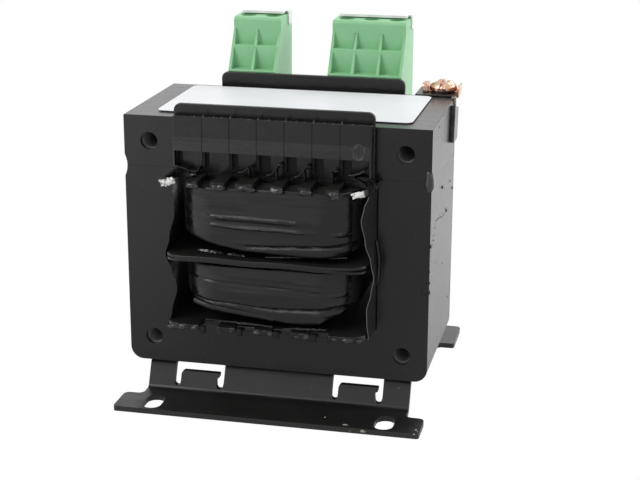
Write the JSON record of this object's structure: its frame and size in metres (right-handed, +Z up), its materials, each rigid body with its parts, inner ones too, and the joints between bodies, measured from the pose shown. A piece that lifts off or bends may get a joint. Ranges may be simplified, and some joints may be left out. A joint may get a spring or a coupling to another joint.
{
  "type": "mains transformer",
  "caption": "Laminated-core mains transformer with a taped two-chamber coil, screw terminal housings, an earth terminal and a folded sheet foot with slotted fixing holes.",
  "frame": {"origin": "on the floor that the foot stands on, under the middle of the whole object's footprint", "axes": "+X to the right across the core's width, +Y to the back through the lamination stack, towards the terminals, +Z up"},
  "size_m": [0.086, 0.0838, 0.1],
  "materials": {
    "core": "black lacquered steel laminations, satin",
    "weld": "welded seam under lacquer",
    "former": "black moulded plastic, satin under varnish",
    "winding": "enamelled copper wire",
    "tape": "black film tape, satin",
    "foil": "black insulation film, varnished",
    "foot": "black painted steel sheet, satin",
    "label": "white label",
    "housing": "green moulded plastic",
    "marker": "white marker strip",
    "screw": "zinc plated",
    "cage": "tinned",
    "tail": "tinned",
    "lead": "enamelled copper wire",
    "sleeve": "white insulating sleeving",
    "earth": "copper plated steel"
  },
  "bodies": {
    "root": {"core_e_stack": "core", "core_i_stack": "core", "seam_left": "weld", "seam_right": "weld", "coil_former": "former", "primary_winding": "winding", "secondary_winding": "winding", "primary_tape": "tape", "secondary_tape": "tape", "foil_left": "foil", "foil_right": "foil", "foot_bracket": "foot", "rating_label": "label", "input_housing": "housing", "output_housing": "housing", "input_marker": "marker", "output_marker": "marker", "terminal_screw_1": "screw", "clamp_cage_1": "cage", "contact_tail_1": "tail", "lead_wire_1": "lead", "terminal_screw_2": "screw", "clamp_cage_2": "cage", "contact_tail_2": "tail", "lead_wire_2": "lead", "terminal_screw_3": "screw", "clamp_cage_3": "cage", "contact_tail_3": "tail", "lead_wire_3": "lead", "terminal_screw_4": "screw", "clamp_cage_4": "cage", "contact_tail_4": "tail", "lead_wire_4": "lead", "terminal_screw_5": "screw", "clamp_cage_5": "cage", "contact_tail_5": "tail", "lead_wire_5": "lead", "sleeve_left": "sleeve", "sleeve_right": "sleeve", "earth_bracket": "core", "earth_clamp": "earth", "earth_screw": "earth", "earth_nut": "screw"}
  },
  "joints": []
}
